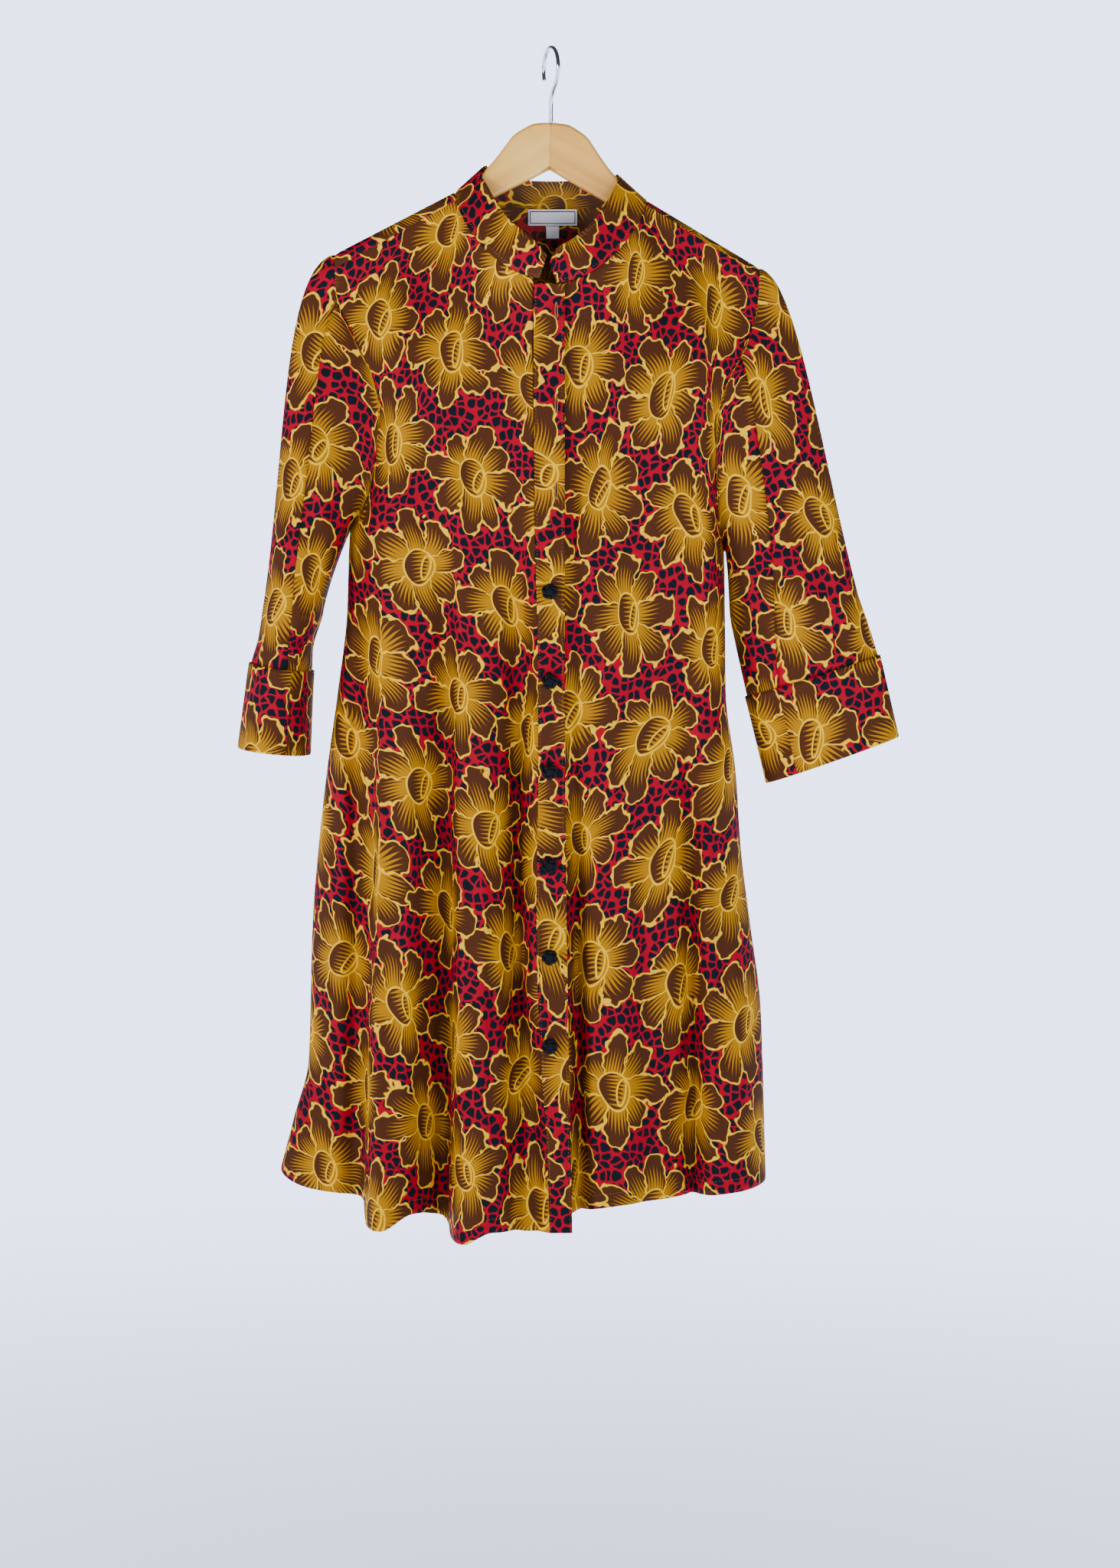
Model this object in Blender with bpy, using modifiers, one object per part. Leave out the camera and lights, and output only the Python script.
"""A knee-length shirt dress with a band collar and turned-up cuffs, hanging on a wooden hanger.

Run it with blender --background --python part.py, or from Blender's text editor.
The scene is in metres with +Z up. The dress faces -Y, and +X is to the right of someone who looks
at its front, so the wearer's right side is at -X. The origin is the inside top of the hanger's hook,
where a rail carries it. The tables below are in millimetres.
"""

import math

import bmesh
import bpy
import numpy as np
from mathutils import Matrix, Vector

MM = 0.001

# Cloth
WALL = 1.4
BAND_WALL = 2.0
SEAM_INSET = 0.36
SHOULDER_INSET = 0.6

# Hanger and hook, in the upright hanger's frame with its origin at the foot of the hook
HOOK_WIRE = 3.4
HOOK_RADIUS = 19.0
HOOK_TWIST = math.radians(20.0)
HOOK_START = math.radians(-45.0)
HOOK_TIP = math.radians(206.0)
SHANK_BEND = -48.0
HANGER_TOP = -64.5
HANGER_SLOPE = math.tan(math.radians(29.0))
HANGER_LEAN = math.radians(1.8)
HANGER_THICKNESS = 12.0
HANGER_ROUNDING = 4.0
ROUNDED_CORNER = math.radians(70)
HANGER_HALF_JOINT = 0.15
HANGER_CROTCH = 41.6
HANGER_LOWER_SLOPE = 0.535
HANGER_SHOULDER = 82.0
HANGER_TIP = 186.0
TIP_ROUNDING = 9.0

# Where the cloth lies over the hanger's arms, and how it leaves them
CLOTH_LIFT = 2.0
WRAP_RADIUS = 9.3
WRAP_ROWS = 6
WRAP_START = math.radians(-78)
WRAP_DROP = 16.0
WRAP_CLEARANCE = 2.0
WRAP_EASE = 4.0
SHOULDER_FALL = 80.0
FALL_POWER = 1.5
RELAX = 130.0

# Shoulder seams, which lie forward of the arms, and the share of each panel's width that they take
SEAM_DROP = {-1: 13.0, 1: 6.0}
SEAM_DEPTH = 10.5
SEAM_CLIMB = 0.65
SHOULDER_SHARE = 0.46
BACK_NECK_SHARES = (0.3, 0.7)

# Shares of each panel's width at which its fold lines lie, and the form of one fold
RIGHT_STOPS = (0, 0.24, 0.52, 0.85, 1)
LEFT_STOPS = (0, 0.1, 0.16, 0.62, 1)
BACK_STOPS = (0, 0.2, 0.41, 0.62, 0.81, 1)
FOLD_SKEW = 0.66
FOLD_SHARPNESS = 1.15
FOLD_LEAN = 0.16
SIDE_ROUNDING = 70.0
RIGHT_UNDERARM = -426.0
LEFT_UNDERARM = -445.0

# Neck opening
NECK_HALF_WIDTH = 84.0
NECK_DROP = 72.0
NECK_STEEPNESS = 1.5
NECK_FRONT_DEPTH = 46.0
NECK_BACK_DEPTH = 34.0
BACK_NECK_DROP = 9.0
NECK_SQUARENESS = 0.85
COLLAR_GAP = 1.6
COLLAR_SHOULDER = 0.55
COLLAR_ENDS = {-1: -10.0, 1: 5.0}

# Front fastening
PLACKET_GAP = 0.9
PLACKET_TUCK = 3.0
PLACKET_TOP = -208.9
PLACKET_TOP_X = -15.6
UNDERLAP_EDGE = 2.0
BUTTON_RADIUS = 7.3
BUTTON_THICKNESS = 7.0
BUTTON_HEIGHTS = (-478, -556, -635, -717, -797, -875)
LABEL_WALL = 1.0
LABEL_WIDTH = 44.0
LABEL_TOP = -138.0
LABEL_BOTTOM = -152.5
SIZE_TAB_WIDTH = 11.5
SIZE_TAB_BOTTOM = -164.0
LABEL_MIDDLE = 1.4
LABEL_GAP = 0.45
BUTTON_GAP = 0.3
BUTTON_X = -1.0
FOOT_GAP = 0.3

# Sleeves and cuffs. Seams are shares of the way round, at the armhole and at the cuff
CUFF_HEIGHT = 75.0
CUFF_STAND_OFF = 2.9
SLEEVE_IN_CUFF = 14.0
SLEEVE_FRONT_SEAM = {-1: (0.09, 0.32), 1: (0.16, 0.35)}
SLEEVE_BACK_SEAM = {-1: (0.74, 0.66), 1: (0.74, 0.66)}
ARMHOLE_GAP = 0.75
ARMHOLE_GAP_HALF_WAY = 2.8
ARMHOLE_GAP_UNDERARM = 2.6
CAP_LEAVE = {-1: (48.0, 8.0), 1: (34.0, 8.0)}
CAP_ARRIVE = (136.0, 24.0)

# How finely the cloth is faceted
DOWN_ROWS = np.linspace(0, 1, 22) ** 1.25
BACK_DOWN_ROWS = np.linspace(0, 1, 20) ** 1.2
SLEEVE_POINTS = 88
CAP_STEPS = 11
UNDER_STEPS = 9
UPPER_STEPS = 12


def table(columns, *rows):
    """A table as a dictionary of named columns, sorted by its first column."""
    rows = sorted(rows)
    return {name: np.array([row[i] for row in rows], float) for i, name in enumerate(columns)}


def read(source, column, at):
    """Reads a column at any value of the table's first column, along a smooth curve with no overshoot."""
    keys = source[next(iter(source))]
    values = source[column]
    steps = np.diff(keys)
    slopes = np.diff(values) / steps
    bends = np.zeros(len(keys))
    same = slopes[1:] * slopes[:-1] > 0
    inner = bends[1:-1]
    inner[same] = 2 / (1 / slopes[1:][same] + 1 / slopes[:-1][same])
    bends[0], bends[-1] = slopes[0], slopes[-1]
    at = np.clip(np.asarray(at, float), keys[0], keys[-1])
    i = np.clip(np.searchsorted(keys, at, side="right") - 1, 0, len(steps) - 1)
    h = steps[i]
    t = (at - keys[i]) / h
    return (
        (1 + 2 * t) * (1 - t) ** 2 * values[i]
        + t * (1 - t) ** 2 * h * bends[i]
        + t * t * (3 - 2 * t) * values[i + 1]
        + t * t * (t - 1) * h * bends[i + 1]
    )


# Outer edges of the body: armhole seam down to the underarm, then side seam.
# front and back are how far the panels stand off the hanger's plane there.
RIGHT_EDGE = table(
    ("height", "x", "front", "back"),
    (-180, -192, 12, 12),
    (-205, -175, 20, 20),
    (-228, -162, 27, 27),
    (-254, -153, 32, 31),
    (-294, -150, 36, 34),
    (-335, -152, 36, 34),
    (-376, -157, 32, 30),
    (-407, -167, 20, 19),
    (-426, -179, 0, 0),
    (-500, -182, 0, 0),
    (-570, -190.5, 0, 0),
    (-640, -200.5, 0, 0),
    (-710, -208.5, 0, 0),
    (-780, -214, 0, 0),
    (-850, -216, 0, 0),
    (-900, -218, 0, 0),
    (-950, -231, 0, 0),
    (-995, -243, 0, 0),
)
LEFT_EDGE = table(
    ("height", "x", "front", "back"),
    (-190, 185, 12, 12),
    (-216, 173, 21, 21),
    (-233, 165, 26, 26),
    (-260, 158, 31, 30),
    (-294, 150, 35, 33),
    (-335, 146, 36, 34),
    (-376, 145.5, 34, 32),
    (-417, 148, 24, 23),
    (-445, 154, 0, 0),
    (-500, 155, 0, 0),
    (-570, 156, 0, 0),
    (-640, 165, 0, 0),
    (-710, 170, 0, 0),
    (-780, 179, 0, 0),
    (-850, 188, 0, 0),
    (-900, 190, 0, 0),
    (-998, 193, 0, 0),
)

# Front folds: where each valley runs, and how far it and the ridges between stand forward.
RIGHT_FRONT = table(
    (
        "height",
        "fold_1",
        "fold_2",
        "fold_3",
        "placket",
        "depth_1",
        "ridge_1",
        "depth_2",
        "ridge_2",
        "depth_3",
        "depth_placket",
    ),
    (-125, -168, -108, -45, -15.6, 22, 0, 30, 0, 40, 44),
    (-200, -157, -104, -40, -15.6, 30, 0, 38, 0, 44, 47),
    (-254, -139, -100, -36, -15.6, 40, 1, 48, 0, 50, 53),
    (-295, -136, -98, -33, -15.6, 44, 2, 52, 1, 54, 58),
    (-365, -140, -92, -29, -15.2, 47, 4, 56, 3, 58, 63),
    (-430, -151, -88, -26, -14.5, 50, 7, 60, 5, 60, 68),
    (-500, -152, -86, -24, -12.5, 50, 10, 61, 8, 60, 73),
    (-570, -153.5, -86, -21, -11.5, 50, 13, 62, 11, 59, 77),
    (-640, -155.5, -86, -26, -11.5, 50, 16, 62, 15, 60, 80),
    (-710, -155.5, -86.5, -28, -12.5, 50, 20, 62, 19, 62, 83),
    (-780, -158, -87, -28, -13.2, 49, 24, 60, 23, 64, 86),
    (-850, -161, -87, -24, -11, 48, 29, 58, 28, 68, 88),
    (-900, -163, -88, -19, -8.5, 47, 33, 56, 33, 72, 90),
    (-975, -165, -89.5, -14, -3.5, 45, 40, 53, 40, 78, 92),
    (-1045, -167, -90.5, -12, -1.5, 44, 44, 51, 44, 80, 93),
)
LEFT_FRONT = table(
    ("height", "band", "fold_4", "fold_5", "depth_4", "ridge_4", "depth_5", "ridge_5"),
    (-125, 12.2, 25, 160, 42, 0, 22, 0),
    (-200, 12.2, 24, 152, 44, 0, 28, 0),
    (-254, 12.2, 23, 140, 50, 1, 38, 0),
    (-295, 12.2, 22, 134, 53, 3, 42, 0),
    (-365, 12.2, 22, 130, 57, 5, 44, 1),
    (-430, 12.2, 22, 129, 61, 7, 46, 2),
    (-500, 12.2, 22, 124, 65, 9, 47, 4),
    (-570, 12.2, 21, 121, 67, 11, 47, 6),
    (-640, 12.6, 21, 120, 68, 12, 47, 8),
    (-710, 13.3, 21, 121, 68, 13, 46, 10),
    (-780, 14, 21.5, 122, 68, 14, 45, 12),
    (-850, 15.2, 22.5, 124, 68, 15, 44, 14),
    (-900, 16, 24, 125, 69, 16, 43, 16),
    (-975, 17.5, 26, 126, 70, 18, 42, 18),
    (-1045, 19, 28, 127, 70, 19, 42, 19),
)
BACK = table(
    ("height", "fold_1", "fold_2", "fold_3", "fold_4", "depth_1", "depth_2", "ridge"),
    (-125, -140, -50, 52, 138, 12, 30, 0),
    (-200, -134, -50, 50, 132, 28, 40, 0),
    (-295, -124, -48, 46, 122, 40, 50, 2),
    (-430, -132, -46, 42, 112, 46, 56, 6),
    (-570, -138, -48, 42, 112, 48, 58, 11),
    (-710, -144, -50, 44, 116, 48, 57, 18),
    (-850, -150, -52, 48, 126, 46, 55, 26),
    (-1010, -164, -56, 50, 130, 43, 52, 36),
)

# Hem heights along each panel, by share of its cloth from one side to the other
RIGHT_FRONT_HEM = table(
    ("share", "height"),
    (0, -996),
    (0.12, -1009),
    (0.24, -1017),
    (0.27, -1037),
    (0.33, -1039),
    (0.42, -1026),
    (0.5, -1032),
    (0.545, -1047),
    (0.6, -1049),
    (0.71, -1038),
    (0.85, -1040),
    (1, -1040),
)
LEFT_FRONT_HEM = table(
    ("share", "height"), (0, -1024), (0.08, -1024.5), (0.3, -1018.5), (0.6, -1014), (0.8, -1010), (1, -1005)
)
BACK_HEM = table(("share", "height"), (0, -996), (0.2, -1010), (0.5, -1019), (0.8, -1013), (1, -1005))


def on_lines(share, stops, values):
    """Spreads values that are given on fold lines over the cloth between them."""
    return np.array([np.interp(s, stops, [v[i] for v in values]) for i, s in enumerate(share)])


def ridge_shape(s):
    """One fold from valley to valley: it climbs fast and falls away slowly."""
    s = np.clip(s, 0, 1)
    return np.sin(math.pi * s**FOLD_SKEW) ** FOLD_SHARPNESS


def hanger_point(x, z):
    """A point of the upright hanger, in its own frame at the foot of the hook, after it leans."""
    c, s = math.cos(HANGER_LEAN), math.sin(HANGER_LEAN)
    return x * c + z * s, HANGER_TOP - x * s + z * c


# The hanger's top outline beside the hook
HANGER_OUTLINE = table(
    ("x", "drop"),
    (0, 0),
    (13.6, 1.2),
    (24, 6),
    (33, 12.5),
    (39, 20.5),
    (46.5, 31),
    (54.5, 41),
    (63, 49.5),
    (HANGER_SHOULDER, 64.1),
)


def arm_top():
    """The top of both arms from tip to tip, as x and height after the hanger leans."""
    across = np.append(HANGER_OUTLINE["x"], HANGER_TIP)
    drop = np.append(HANGER_OUTLINE["drop"], 0)
    drop[-1] = drop[-2] + HANGER_SLOPE * (HANGER_TIP - HANGER_SHOULDER)
    right = [hanger_point(-x, -d) for x, d in zip(across[::-1], drop[::-1])]
    left = [hanger_point(x, -d) for x, d in zip(across[1:], drop[1:])]
    return np.array(right + left).T


ARM_TOP = arm_top()


def arm_height(x):
    """Height of an arm's top at any x, with its slope carried on past the tip."""
    x = np.asarray(x, float)
    across, height = ARM_TOP
    first = (height[1] - height[0]) / (across[1] - across[0])
    last = (height[-1] - height[-2]) / (across[-1] - across[-2])
    inside = np.interp(x, across, height)
    beyond = np.minimum(x - across[0], 0) * first + np.maximum(x - across[-1], 0) * last
    return inside + beyond


def shoulder_height(x):
    """Height of the cloth where it lies over the arms, outside the neck."""
    x = np.asarray(x, float)
    out = np.maximum(np.abs(x), NECK_HALF_WIDTH)
    return CLOTH_LIFT + arm_height(np.where(x < 0, -out, out))


def fall(d):
    """How far the cloth has left the hanger's plane, from 0 at the shoulder to 1 well below it."""
    return 1 - np.exp(-((np.maximum(d, 0) / SHOULDER_FALL) ** FALL_POWER))


def neck_front(side, angle):
    """The front neckline: angle 0 at the shoulder seam, a right angle at the centre front."""
    neck = side * NECK_HALF_WIDTH
    down = np.maximum(np.sin(angle), 0)
    y = -SEAM_DEPTH - (NECK_FRONT_DEPTH - SEAM_DEPTH) * down**1.2
    z = shoulder_height(neck) - SEAM_DROP[side] * SEAM_CLIMB - NECK_DROP * down**NECK_STEEPNESS
    return neck * np.cos(angle), y, z


def front_top(side, share):
    """Top edge of a front: along the shoulder seam, then round the neckline. Share 0 is at the armhole."""
    tip = RIGHT_EDGE["x"][-1] if side < 0 else LEFT_EDGE["x"][-1]
    neck = side * NECK_HALF_WIDTH
    end = math.acos((PLACKET_TOP_X if side < 0 else PLACKET_TOP_X + UNDERLAP_EDGE) / neck)
    on_shoulder = share < SHOULDER_SHARE
    along = np.clip(share / SHOULDER_SHARE, 0, 1)
    seam_x = tip + (neck - tip) * along
    seam_z = shoulder_height(seam_x) - SEAM_DROP[side] * (1 - (1 - SEAM_CLIMB) * along)
    seam = (seam_x, -SEAM_DEPTH, seam_z)
    neckline = neck_front(side, end * np.clip((share - SHOULDER_SHARE) / (1 - SHOULDER_SHARE), 0, 1))
    return tuple(np.where(on_shoulder, a, b) for a, b in zip(seam, neckline))


def side_turn(part, near, far, z, underarm):
    """From a side seam to the first fold: a quarter turn below the underarm, straight above it."""
    part = np.clip(part, 0, 1)
    rounding = np.clip((underarm + SIDE_ROUNDING - z) / SIDE_ROUNDING, 0, 1)
    angle = part * math.pi / 2
    across = part + (1 - np.cos(angle) - part) * rounding
    out = part + (np.sin(angle) - part) * rounding
    return near[0] + (far[0] - near[0]) * across, near[1] + (far[1] - near[1]) * out


def right_front_lines(share, z):
    """x and depth of the wearer's right front on its fold lines, with the ridges between them."""
    folds = [read(RIGHT_FRONT, column, z) for column in ("fold_1", "fold_2", "fold_3", "placket")]
    hollows = [read(RIGHT_FRONT, column, z) for column in ("depth_1", "depth_2", "depth_3", "depth_placket")]
    lines = [read(RIGHT_EDGE, "x", z), *folds]
    depths = [read(RIGHT_EDGE, "front", z), *hollows]
    x = on_lines(share, RIGHT_STOPS, lines)
    depth = on_lines(share, RIGHT_STOPS, depths)
    near, far = (lines[0], depths[0]), (lines[1], depths[1])
    side_x, side_depth = side_turn(share / RIGHT_STOPS[1], near, far, z, RIGHT_UNDERARM)
    near_side = share < RIGHT_STOPS[1]
    x = np.where(near_side, side_x, x)
    depth = np.where(near_side, side_depth, depth)
    for k, column in ((1, "ridge_1"), (2, "ridge_2")):
        s = (share - RIGHT_STOPS[k]) / (RIGHT_STOPS[k + 1] - RIGHT_STOPS[k])
        rise = np.where((s > 0) & (s < 1), ridge_shape(s), 0) * read(RIGHT_FRONT, column, z)
        depth = depth + rise
        x = x - FOLD_LEAN * rise
    return x, -depth


def left_front_lines(share, z):
    """The same for the wearer's left front, whose share 0 lies under the button band."""
    under = read(RIGHT_FRONT, "placket", z) + UNDERLAP_EDGE
    band = read(LEFT_FRONT, "band", z) - 1
    folds = [read(LEFT_FRONT, column, z) for column in ("fold_4", "fold_5")]
    flat = read(RIGHT_FRONT, "depth_placket", z)
    lines = [under, band, *folds, read(LEFT_EDGE, "x", z)]
    hollows = [read(LEFT_FRONT, column, z) for column in ("depth_4", "depth_5")]
    depths = [flat, flat - 1, *hollows, read(LEFT_EDGE, "front", z)]
    x = on_lines(share, LEFT_STOPS, lines)
    depth = on_lines(share, LEFT_STOPS, depths)
    near, far = (lines[4], depths[4]), (lines[3], depths[3])
    side_x, side_depth = side_turn((1 - share) / (1 - LEFT_STOPS[3]), near, far, z, LEFT_UNDERARM)
    near_side = share > LEFT_STOPS[3]
    x = np.where(near_side, side_x, x)
    depth = np.where(near_side, side_depth, depth)
    for k, column in ((2, "ridge_4"), (3, "ridge_5")):
        s = (share - LEFT_STOPS[k]) / (LEFT_STOPS[k + 1] - LEFT_STOPS[k])
        depth = depth + np.where((s > 0) & (s < 1), ridge_shape(s), 0) * read(LEFT_FRONT, column, z)
    return x, -depth


def back_lines(share, z):
    """The same for the back, from the wearer's right side to the left, standing off towards +Y."""
    folds = [read(BACK, f"fold_{k}", z) for k in (1, 2, 3, 4)]
    lines = [read(RIGHT_EDGE, "x", z), *folds, read(LEFT_EDGE, "x", z)]
    outer, inner = read(BACK, "depth_1", z), read(BACK, "depth_2", z)
    depths = [read(RIGHT_EDGE, "back", z), outer, inner, inner, outer, read(LEFT_EDGE, "back", z)]
    x = on_lines(share, BACK_STOPS, lines)
    depth = on_lines(share, BACK_STOPS, depths)
    for near_side, part, a, b, underarm in (
        (share < BACK_STOPS[1], share / BACK_STOPS[1], 0, 1, RIGHT_UNDERARM),
        (share > BACK_STOPS[4], (1 - share) / (1 - BACK_STOPS[4]), 5, 4, LEFT_UNDERARM),
    ):
        side_x, side_depth = side_turn(part, (lines[a], depths[a]), (lines[b], depths[b]), z, underarm)
        x = np.where(near_side, side_x, x)
        depth = np.where(near_side, side_depth, depth)
    for k in (1, 2, 3):
        s = (share - BACK_STOPS[k]) / (BACK_STOPS[k + 1] - BACK_STOPS[k])
        depth = depth + np.where((s > 0) & (s < 1), ridge_shape(s), 0) * read(BACK, "ridge", z)
    return x, depth


def hang(top, hem, lines, share, down):
    """A point of a panel: down runs from 0 at its top edge to 1 at its hem."""
    x0, y0, z0 = top
    z = z0 + (hem - z0) * down
    x1, y1 = lines(share, z)
    d = z0 - z
    q = fall(d)
    settled = np.clip(d / RELAX, 0, 1)
    settled = settled * settled * (3 - 2 * settled)
    return x0 + (x1 - x0) * settled, y0 + (y1 - y0) * q, z


def right_front(share, down):
    """Share 0 is at the armhole and side seam and 1 at the placket."""
    hem = read(RIGHT_FRONT_HEM, "height", share)
    return hang(front_top(-1, share), hem, right_front_lines, share, down)


def left_front(share, down):
    """Share 0 is at the button band and 1 at the armhole and side seam."""
    hem = read(LEFT_FRONT_HEM, "height", share)
    x, y, z = hang(front_top(1, 1 - share), hem, left_front_lines, share, down)
    under = np.clip((LEFT_STOPS[2] - share) / (LEFT_STOPS[2] - LEFT_STOPS[1]), 0, 1)
    return x, y + PLACKET_TUCK * under * under * (3 - 2 * under), z


def neck_back(angle, side):
    """The back neckline over the arm and round behind: angle 0 at the shoulder seam, a right angle behind."""
    neck = side * NECK_HALF_WIDTH
    x = neck * np.maximum(np.cos(angle), 0) ** NECK_SQUARENESS
    y = -SEAM_DEPTH + (NECK_BACK_DEPTH + SEAM_DEPTH) * np.sin(angle)
    ridge = shoulder_height(neck)
    over = np.clip(1.5 - np.abs(y) / (WRAP_RADIUS + 3), 0, 1)
    ridge = ridge + np.maximum(arm_height(x) + CLOTH_LIFT - ridge, 0) * over
    middle = (shoulder_height(-NECK_HALF_WIDTH) + shoulder_height(NECK_HALF_WIDTH)) / 2 - BACK_NECK_DROP
    seam = SEAM_DROP[side] * SEAM_CLIMB
    front = np.clip(-y / SEAM_DEPTH, 0, 1)
    round_arm = WRAP_RADIUS * (1 - np.sqrt(1 - np.clip(y / WRAP_RADIUS, -1, 0) ** 2))
    z = ridge - np.minimum(seam * front**2, round_arm)
    behind = np.clip((y - WRAP_RADIUS) / (NECK_BACK_DEPTH - WRAP_RADIUS), 0, 1)
    return x, y, z + (middle - ridge) * behind


def back_top(share):
    """Top edge of the back: forward shoulder seams and the back neckline."""
    a, b = BACK_NECK_SHARES
    tip_r, tip_l = RIGHT_EDGE["x"][-1], LEFT_EDGE["x"][-1]
    out = []
    for s in share:
        if s <= a or s >= b:
            side, tip, t = (-1, tip_r, s / a) if s <= a else (1, tip_l, (1 - s) / (1 - b))
            x = tip + (side * NECK_HALF_WIDTH - tip) * t
            out.append((x, -SEAM_DEPTH, shoulder_height(x) - SEAM_DROP[side] * (1 - (1 - SEAM_CLIMB) * t)))
        else:
            t = (s - a) / (b - a)
            side = -1 if t < 0.5 else 1
            out.append(neck_back((t if t < 0.5 else 1 - t) * math.pi, side))
    return np.array(out, float).T


def back_rows(share, down_steps):
    """The whole back as rows of points: over the arms first, then down to the hem."""
    top = back_top(share)
    a, b = BACK_NECK_SHARES
    in_neck = (share > a) & (share < b)
    least = WRAP_RADIUS + WRAP_CLEARANCE
    behind = top[1] - least
    foot_y = least + (behind + np.hypot(behind, WRAP_EASE)) / 2
    over = ~in_neck | (top[1] < WRAP_RADIUS)
    first = np.where(in_neck, np.arcsin(np.clip(top[1] / WRAP_RADIUS, -0.98, 1)), WRAP_START)
    crest = np.where(in_neck, top[2] + WRAP_RADIUS * (1 - np.cos(first)), shoulder_height(top[0]))
    foot_z = np.where(in_neck, np.minimum(top[2], shoulder_height(top[0])), crest) - WRAP_DROP
    rows = [top]
    for k in range(1, WRAP_ROWS):
        t = k / WRAP_ROWS
        turn = first + (math.pi / 2 - first) * t
        y = np.where(over, WRAP_RADIUS * np.sin(turn), top[1] + (foot_y - top[1]) * t)
        z = np.where(over, crest - WRAP_RADIUS * (1 - np.cos(turn)), top[2] + (foot_z - top[2]) * t)
        rows.append(np.array([top[0], y, z]))
    hem = read(BACK_HEM, "height", share)
    for down in down_steps:
        rows.append(np.array(hang((top[0], foot_y, foot_z), hem, back_lines, share, down)))
    return rows


# Sleeves: sections below the elbow turn, as the middle of the tube, its half width, half depth and lean
RIGHT_SLEEVE = table(
    ("height", "x", "half_width", "half_depth", "lean"),
    (-498, -230.5, 26.5, 58, 9),
    (-524, -236.6, 24.5, 59, 8),
    (-546, -240.4, 27.0, 57, 8),
    (-580, -243.8, 28.7, 56, 7),
    (-621, -247.5, 31, 55, 6),
)
LEFT_SLEEVE = table(
    ("height", "x", "half_width", "half_depth", "lean"),
    (-498, 218, 58, 30, 15),
    (-530, 227, 60, 27, 16),
    (-560, 235, 61, 25, 17.5),
    (-595, 243.5, 61, 23, 18.5),
    (-629, 251.6, 61.3, 22, 19.4),
)


def underarm_share(point_at, underarm):
    """How far down a panel's edge its underarm lies."""
    downs = np.linspace(0, 1, 400)
    heights = np.array([point_at(d)[2] for d in downs])
    return float(np.interp(-underarm, -heights, downs))


def edge_of_front(side):
    """A front's outer edge, as a point for each share of the way down."""
    if side < 0:
        return lambda d: tuple(float(v[0]) for v in right_front(np.array([0.0]), np.array([d])))
    return lambda d: tuple(float(v[0]) for v in left_front(np.array([1.0]), np.array([d])))


def armhole(side, count):
    """The armhole as a ring of points: 0 at the top of the shoulder, half way round at the underarm."""
    underarm = RIGHT_UNDERARM if side < 0 else LEFT_UNDERARM
    point_at = edge_of_front(side)
    last = underarm_share(point_at, underarm)
    front = [point_at(d) for d in np.linspace(0, last, 60)]
    share = np.array([0.0 if side < 0 else 1.0])
    rows = [tuple(float(v[0]) for v in row) for row in back_rows(share, np.linspace(0, 1, 160))]
    back = [p for p in rows if p[2] > underarm]
    crest = next(i for i, p in enumerate(back) if p[1] >= 0)
    front = back[:crest][::-1][:-1] + front
    tip = (back[crest][0], 0.0, float(shoulder_height(back[crest][0])))
    halves = []
    for path in ([tip, *front], [tip, *back[crest:], front[-1]]):
        path = np.array(path)
        length = np.concatenate([[0], np.cumsum(np.linalg.norm(np.diff(path, axis=0), axis=1))])
        halves.append((path, length / length[-1]))
    ring = []
    for a in np.arange(count) / count:
        path, length = halves[0] if a <= 0.5 else halves[1]
        at = 2 * a if a <= 0.5 else 2 * (1 - a)
        ring.append([np.interp(at, length, path[:, i]) for i in range(3)])
    return np.array(ring)


def sleeve_section(side, height, around, grow=0.0):
    """Points of a sleeve's section: around is 0 at its outer edge and a quarter at its front."""
    source = RIGHT_SLEEVE if side < 0 else LEFT_SLEEVE
    x, w, d, lean = (float(read(source, c, height)) for c in ("x", "half_width", "half_depth", "lean"))
    lean = math.radians(lean)
    across = np.array([side * math.cos(lean), 0, math.sin(lean)])
    turn = 2 * math.pi * np.asarray(around)
    ring = np.array([x, 0, height]) + np.outer((w + grow) * np.cos(turn), across)
    ring[:, 1] -= (d + grow) * np.sin(turn)
    return ring


def sleeve_rings(side, end_heights):
    """Rings from the armhole round the elbow turn and down to the cuff's edge."""
    source = RIGHT_SLEEVE if side < 0 else LEFT_SLEEVE
    start = armhole(side, SLEEVE_POINTS)
    around = np.arange(SLEEVE_POINTS) / SLEEVE_POINTS
    under = (1 - np.cos(2 * math.pi * around)) / 2
    gap = ARMHOLE_GAP + ARMHOLE_GAP_HALF_WAY * under * (1 - under) + ARMHOLE_GAP_UNDERARM * under**5
    start[:, 0] += side * gap
    last = sleeve_section(side, source["height"][-1], around)
    lean = math.radians(float(source["lean"][-1]))
    down = np.array([side * math.sin(lean), 0, -math.cos(lean)])
    out = np.array([side * 0.98, 0, -0.2])
    top, low = CAP_LEAVE[side]
    leave = np.outer(top + (low - top) * under, out)
    arrive = np.outer(CAP_ARRIVE[0] + (CAP_ARRIVE[1] - CAP_ARRIVE[0]) * under, down)
    rings = []
    for t in np.linspace(0, 1, CAP_STEPS + 1):
        rings.append(
            (1 - t) ** 3 * start
            + 3 * t * (1 - t) ** 2 * (start + leave)
            + 3 * t * t * (1 - t) * (last - arrive)
            + t**3 * last
        )
    for height in end_heights:
        rings.append(sleeve_section(side, height, around))
    return rings


def clear_scene():
    for obj in list(bpy.data.objects):
        bpy.data.objects.remove(obj, do_unlink=True)


def material(name, colour, roughness, metallic=0.0):
    made = bpy.data.materials.new(name)
    made.use_nodes = True
    shader = made.node_tree.nodes["Principled BSDF"]
    shader.inputs["Base Color"].default_value = (*colour, 1)
    shader.inputs["Roughness"].default_value = roughness
    shader.inputs["Metallic"].default_value = metallic
    return made


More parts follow.
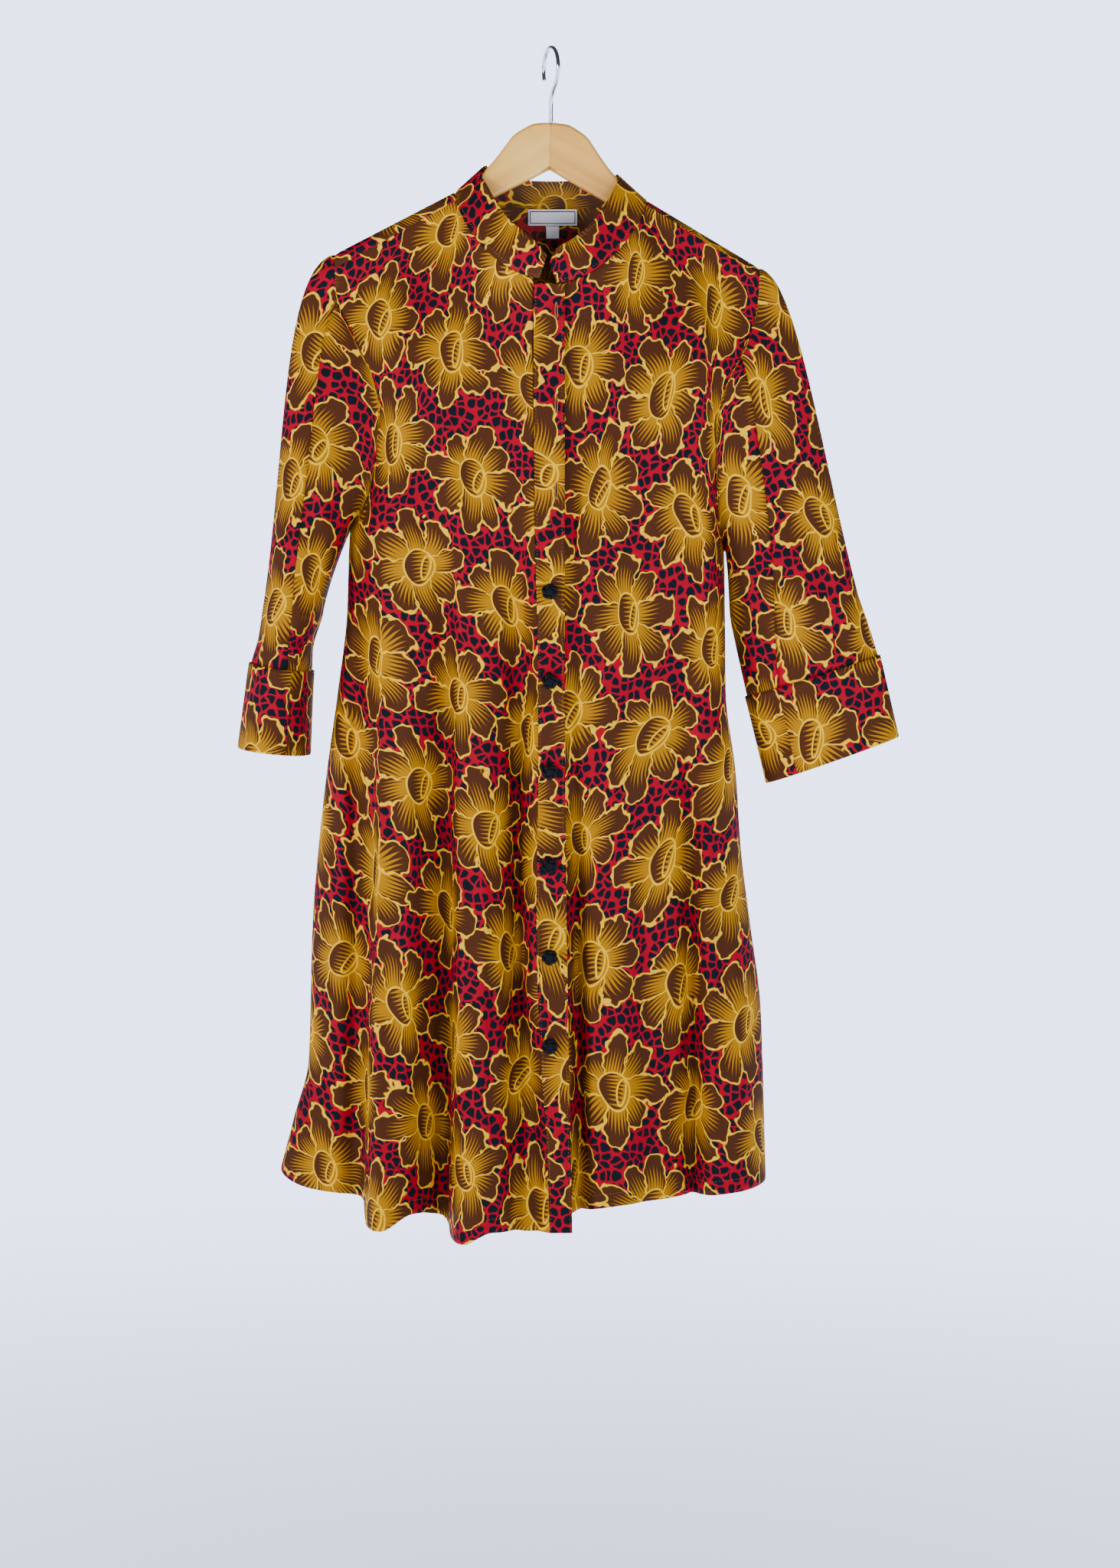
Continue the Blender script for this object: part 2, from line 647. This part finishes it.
def add_object(name, mesh, surface, collection):
    made = bpy.data.objects.new(name, mesh)
    mesh.materials.append(surface)
    mesh.shade_smooth()
    collection.objects.link(made)
    return made


def grid_mesh(name, rows, ring=False):
    """A sheet of quads through rows of points in millimetres. Rows that are rings close on themselves."""
    rows = [np.asarray(row, float) for row in rows]
    count = len(rows[0])
    points = np.concatenate(rows) * MM
    span = count if ring else count - 1
    faces = [
        (i * count + j, (i + 1) * count + j, (i + 1) * count + (j + 1) % count, i * count + (j + 1) % count)
        for i in range(len(rows) - 1)
        for j in range(span)
    ]
    mesh = bpy.data.meshes.new(name)
    mesh.from_pydata(points.tolist(), [], faces)
    return mesh


def thicken(obj, wall):
    """Turns a sheet into a wall of cloth, evenly on both sides."""
    solid = obj.modifiers.new("wall", "SOLIDIFY")
    solid.thickness = wall * MM
    solid.offset = 0.0
    solid.use_even_offset = True
    solid.use_quality_normals = True


def shrink_edges(rows, first=SEAM_INSET, last=SEAM_INSET, sides=SEAM_INSET):
    """Draws a panel's edges in by half a seam gap each, along the cloth."""
    grid = np.array(rows, float)
    for edge, inner, gap in ((0, 1, first), (-1, -2, last)):
        step = grid[inner] - grid[edge]
        length = np.linalg.norm(step, axis=1, keepdims=True)
        grid[edge] += step / length * gap
    for edge, inner in ((0, 1), (-1, -2)):
        step = grid[:, inner] - grid[:, edge]
        length = np.linalg.norm(step, axis=1, keepdims=True)
        grid[:, edge] += step / length * sides
    return grid


def panel_rows(point_at, shares, downs):
    shares = np.asarray(shares, float)
    return [np.array(point_at(shares, np.full(len(shares), d))).T for d in downs]


def spaced(stops, counts):
    """Shares along a panel with a number of even steps between each two stops."""
    out = [stops[0]]
    for low, high, count in zip(stops, stops[1:], counts):
        out.extend(np.linspace(low, high, count + 1)[1:])
    return np.array(out)


def build_body(cloth, collection):
    """The two fronts and the back."""
    shares = spaced((0, 0.24, SHOULDER_SHARE, 0.52, 0.85, 1), (5, 4, 2, 6, 3))
    rows = shrink_edges(panel_rows(right_front, shares, DOWN_ROWS), first=SHOULDER_INSET)
    front_r = add_object("front_right", grid_mesh("front_right", rows), cloth, collection)
    shares = spaced((0, 0.08, 1 - SHOULDER_SHARE, 0.62, 1), (2, 7, 1, 6))
    rows = shrink_edges(panel_rows(left_front, shares, DOWN_ROWS), first=SHOULDER_INSET)
    front_l = add_object("front_left", grid_mesh("front_left", rows), cloth, collection)
    shares = spaced((0, 0.2, 0.3, 0.32, 0.38, 0.5, 0.62, 0.68, 0.7, 0.8, 1), (4, 2, 2, 3, 5, 5, 3, 2, 2, 4))
    rows = [row.T for row in back_rows(shares, BACK_DOWN_ROWS)]
    rows = shrink_edges(rows, first=SHOULDER_INSET)[:, ::-1]
    back = add_object("back", grid_mesh("back", rows), cloth, collection)
    for obj in (front_r, front_l, back):
        thicken(obj, WALL)


def seam_shares(side, t):
    """Where the two seams run round a sleeve, from the armhole at t 0 to the cuff at t 1."""
    front, back = SLEEVE_FRONT_SEAM[side], SLEEVE_BACK_SEAM[side]
    return front[0] + (front[1] - front[0]) * t, back[0] + (back[1] - back[0]) * t


def build_sleeves(cloth, collection):
    """Each sleeve in an upper and an under piece, and its turned-up cuff."""
    for side, word, source in ((-1, "right", RIGHT_SLEEVE), (1, "left", LEFT_SLEEVE)):
        top_of_cuff = source["height"][0] + CUFF_HEIGHT
        heights = [z for z in source["height"][::-1][1:] if z > top_of_cuff]
        rings = np.array(sleeve_rings(side, [*heights, top_of_cuff, top_of_cuff - SLEEVE_IN_CUFF]))
        steps = np.linspace(0, 1, len(rings))
        around = np.arange(SLEEVE_POINTS + 1) / SLEEVE_POINTS
        closed = np.concatenate([rings, rings[:, :1]], axis=1)
        for piece in ("under", "upper"):
            rows = []
            for t, ring in zip(steps, closed):
                a, b = seam_shares(side, t)
                if piece == "under":
                    at = np.linspace(a, b, UNDER_STEPS + 1)
                else:
                    at = np.linspace(b, a + 1, UPPER_STEPS + 1) % 1.0
                rows.append(np.array([np.interp(at, around, ring[:, i]) for i in range(3)]).T)
            grid = shrink_edges(rows, first=0.0, last=0.0)
            grid = grid[:, ::-1] if side < 0 else grid
            name = f"sleeve_{word}_{piece}"
            thicken(add_object(name, grid_mesh(name, grid), cloth, collection), WALL)
        end = source["height"][0]
        a, b = seam_shares(side, 1.0)
        under_part = np.linspace(a, b, UNDER_STEPS + 1)
        upper_part = np.linspace(b, a + 1, UPPER_STEPS + 1)[1:-1]
        round_cuff = np.concatenate([under_part, upper_part])
        heights = np.linspace(end + CUFF_HEIGHT, end, 5)
        rows = [sleeve_section(side, z, round_cuff, grow=CUFF_STAND_OFF) for z in heights]
        rows = [row[::-1] for row in rows] if side < 0 else rows
        name = f"cuff_{word}"
        thicken(add_object(name, grid_mesh(name, rows, ring=True), cloth, collection), BAND_WALL)


# How the standing collar leans from the neckline, from the wearer's right end round the back to the left
COLLAR_LEAN = table(
    ("along", "inward", "back", "up", "roll"),
    (-1, 6.5, 0, 20, 3),
    (-0.96, 8, 0, 29, 3),
    (-0.9, 12, 1, 32, 2),
    (-0.8, 21, 1, 26, 0),
    (-0.65, 25, 0, 22, 0),
    (-0.55, 23, 0, 20, 0),
    (-0.4, 20, -3, 19, 0),
    (-0.2, 5, -12, 24, 0),
    (0, 0, -17, 23, 0),
    (0.2, 5, -12, 24, 0),
    (0.4, 19, -3, 19, 0),
    (0.55, 24, 0, 21, 0),
    (0.65, 25, 0, 23, 0),
    (0.8, 21, 1, 27, 0),
    (0.9, 13, 1, 31, 2),
    (0.96, 9, 0, 30, 3),
    (1, 6, 0, 18, 3),
)


def collar_base(along):
    """The neckline under the collar, from -1 at the wearer's right end to 1 at the left."""
    side = -1 if along < 0 else 1
    part = abs(along)
    if part < COLLAR_SHOULDER:
        return np.array(neck_back((1 - part / COLLAR_SHOULDER) * math.pi / 2, side), float)
    end = math.acos(COLLAR_ENDS[side] / (side * NECK_HALF_WIDTH))
    return np.array(neck_front(side, end * (part - COLLAR_SHOULDER) / (1 - COLLAR_SHOULDER)), float)


def collar_point(along, up):
    """A point of the collar: up runs from 0 at the neckline to 1 at its top edge."""
    inward, back, rise, roll = (float(read(COLLAR_LEAN, c, along)) for c in ("inward", "back", "up", "roll"))
    lean = np.array([-math.copysign(inward, along), back, rise])
    start = collar_base(along) + lean / np.linalg.norm(lean) * COLLAR_GAP
    return start + lean * up - np.array([0, roll * 4 * up * (1 - up), 0])


def build_collar(cloth, collection):
    s = COLLAR_SHOULDER
    stops = (-1, -0.96, -0.8, -s, -0.48, -0.3, 0.3, 0.48, s, 0.8, 0.96, 1)
    along = spaced(stops, (1, 3, 4, 4, 3, 6, 3, 4, 4, 3, 1))
    rows = [np.array([collar_point(a, up) for a in along]) for up in np.linspace(1, 0, 4)]
    thicken(add_object("collar", grid_mesh("collar", rows), cloth, collection), BAND_WALL)


def placket_edge(down):
    """The seam between the right front and the placket."""
    return np.array([float(v[0]) for v in right_front(np.array([1.0]), np.array([down]))])


def placket_width(z):
    return float(read(LEFT_FRONT, "band", z) - read(RIGHT_FRONT, "placket", z))


def build_placket(cloth, collection):
    rows = []
    top = 1 - (PLACKET_TOP - placket_edge(1)[2]) / (placket_edge(0)[2] - placket_edge(1)[2])
    for down in np.concatenate([[top], DOWN_ROWS[2:]]):
        seam = placket_edge(down)
        width = placket_width(seam[2])
        rows.append([seam + (x, 0, 0) for x in np.linspace(PLACKET_GAP, width, 4)])
    grid = shrink_edges(np.array(rows), sides=0.0)
    thicken(add_object("placket", grid_mesh("placket", grid), cloth, collection), BAND_WALL)


def build_buttons(surface, collection):
    """Round fabric-covered buttons on the placket's face."""
    for number, z in enumerate(BUTTON_HEIGHTS, 1):
        depth = float(read(RIGHT_FRONT, "depth_placket", z))
        mesh = bpy.data.meshes.new(f"button_{number}")
        bm = bmesh.new()
        bmesh.ops.create_uvsphere(bm, u_segments=12, v_segments=6, radius=BUTTON_RADIUS * MM)
        flat = BUTTON_THICKNESS / (2 * BUTTON_RADIUS)
        bmesh.ops.scale(bm, vec=(1, 1, flat), verts=bm.verts)
        bmesh.ops.rotate(bm, verts=bm.verts, cent=(0, 0, 0), matrix=Matrix.Rotation(math.pi / 2, 3, "X"))
        bm.to_mesh(mesh)
        bm.free()
        button = add_object(f"button_{number}", mesh, surface, collection)
        stand = BAND_WALL / 2 + BUTTON_GAP + BUTTON_THICKNESS / 2
        button.location = Vector((BUTTON_X, -depth - stand, z)) * MM


def back_inside(x, z, rows):
    """Depth of the back's middle surface near the neck, at a given place across and up."""
    depth = [np.interp(x, row[0], row[1]) for row in rows]
    height = [np.interp(x, row[0], row[2]) for row in rows]
    return float(np.interp(-z, -np.array(height), depth))


def build_labels(surface, collection):
    """A blank neck label on the inside of the back, and a blank size tab below it."""
    rows = back_rows(np.linspace(*BACK_NECK_SHARES, 41), np.linspace(0, 0.2, 30))
    inset = WALL / 2 + LABEL_WALL / 2 + LABEL_GAP
    for name, width, top, bottom in (
        ("label", LABEL_WIDTH, LABEL_TOP, LABEL_BOTTOM),
        ("size_tab", SIZE_TAB_WIDTH, LABEL_BOTTOM - LABEL_GAP, SIZE_TAB_BOTTOM),
    ):
        across = LABEL_MIDDLE + width * np.linspace(-0.5, 0.5, 5)
        heights = np.linspace(top, bottom, 3)
        grid = [[(x, back_inside(x, z, rows) - inset, z) for x in across] for z in heights]
        thicken(add_object(name, grid_mesh(name, grid), surface, collection), LABEL_WALL)


def build_hanger(wood, collection):
    """Two shaped arms that meet on an upright mitre below the hook."""
    for side, word in ((-1, "right"), (1, "left")):
        across = np.concatenate([[HANGER_HALF_JOINT], HANGER_OUTLINE["x"][1:]])
        outline = [(x, -float(read(HANGER_OUTLINE, "drop", x))) for x in across]
        tip_top = -outline[-1][1] + HANGER_SLOPE * (HANGER_TIP - TIP_ROUNDING - HANGER_SHOULDER)
        tip_low = HANGER_CROTCH + HANGER_LOWER_SLOPE * (HANGER_TIP - TIP_ROUNDING)
        outline.append((HANGER_TIP - TIP_ROUNDING, -tip_top))
        outline.append((HANGER_TIP - 0.3 * TIP_ROUNDING, -tip_top - 0.7 * TIP_ROUNDING))
        outline.append((HANGER_TIP - 0.4 * TIP_ROUNDING, -tip_low + 0.5 * TIP_ROUNDING))
        outline.append((HANGER_TIP - TIP_ROUNDING, -tip_low))
        outline.append((HANGER_SHOULDER, -HANGER_CROTCH - HANGER_LOWER_SLOPE * HANGER_SHOULDER))
        outline.append((HANGER_HALF_JOINT, -HANGER_CROTCH))
        mesh = bpy.data.meshes.new(f"hanger_arm_{word}")
        bm = bmesh.new()
        half = HANGER_THICKNESS / 2
        verts = []
        for x, z in outline:
            px, pz = hanger_point(side * x, z)
            verts.append(bm.verts.new(Vector((px, half, pz)) * MM))
        face = bm.faces.new(verts)
        pulled = bmesh.ops.extrude_face_region(bm, geom=[face])
        moved = [v for v in pulled["geom"] if isinstance(v, bmesh.types.BMVert)]
        bmesh.ops.translate(bm, verts=moved, vec=Vector((0, -HANGER_THICKNESS, 0)) * MM)
        bmesh.ops.recalc_face_normals(bm, faces=bm.faces)
        mitre = next(f for f in bm.faces if len(f.verts) == 4 and {verts[0], verts[-1]} <= set(f.verts))
        weight = bm.edges.layers.float.new("bevel_weight_edge")
        for edge in bm.edges:
            sharp = edge.calc_face_angle() > ROUNDED_CORNER
            edge[weight] = float(sharp and mitre not in edge.link_faces)
        bm.to_mesh(mesh)
        bm.free()
        arm = add_object(f"hanger_arm_{word}", mesh, wood, collection)
        rounding = arm.modifiers.new("rounded edges", "BEVEL")
        rounding.width = HANGER_ROUNDING * MM
        rounding.segments = 3
        rounding.limit_method = "WEIGHT"


def hook_path():
    """The hook's wire from its foot in the wood round to its tip, as (forward, up) pairs."""
    r = HOOK_RADIUS
    centre = HOOK_WIRE / 2 - r
    start = np.array([r * math.cos(HOOK_START), centre + r * math.sin(HOOK_START)])
    foot = np.array([0.0, SHANK_BEND])
    aim = np.array([math.sin(HOOK_START), -math.cos(HOOK_START)])
    path = [np.array([0.0, HANGER_TOP + FOOT_GAP])]
    for t in np.linspace(0, 1, 9)[:-1]:
        path.append(
            (1 - t) ** 3 * foot
            + 3 * t * (1 - t) ** 2 * (foot + (0, 8))
            + 3 * t * t * (1 - t) * (start + aim * 8)
            + t**3 * start
        )
    for angle in np.linspace(HOOK_START, HOOK_TIP, 26):
        path.append(np.array([r * math.cos(angle), centre + r * math.sin(angle)]))
    return path


def build_hook(chrome, collection):
    path = hook_path()
    curve = bpy.data.curves.new("hanger_hook", "CURVE")
    curve.dimensions = "3D"
    curve.bevel_depth = HOOK_WIRE / 2 * MM
    curve.bevel_resolution = 2
    curve.use_fill_caps = True
    spline = curve.splines.new("POLY")
    spline.points.add(len(path) - 1)
    for point, (forward, up) in zip(spline.points, path):
        place = Vector((forward * math.sin(HOOK_TWIST), -forward * math.cos(HOOK_TWIST), up)) * MM
        point.co = (*place, 1)
    hook = bpy.data.objects.new("hanger_hook", curve)
    curve.materials.append(chrome)
    collection.objects.link(hook)


def main():
    clear_scene()
    collection = bpy.data.collections.new("shirt_dress_on_hanger")
    bpy.context.scene.collection.children.link(collection)
    cloth = material("printed_cotton", (0.45, 0.16, 0.05), 0.8)
    build_body(cloth, collection)
    build_sleeves(cloth, collection)
    build_collar(cloth, collection)
    build_placket(cloth, collection)
    build_buttons(material("black_cord", (0.01, 0.01, 0.012), 0.7), collection)
    build_labels(material("white_satin", (0.88, 0.88, 0.88), 0.5), collection)
    build_hanger(material("varnished_wood", (0.86, 0.6, 0.3), 0.35), collection)
    build_hook(material("chromed_wire", (0.8, 0.8, 0.8), 0.15, 1.0), collection)


main()
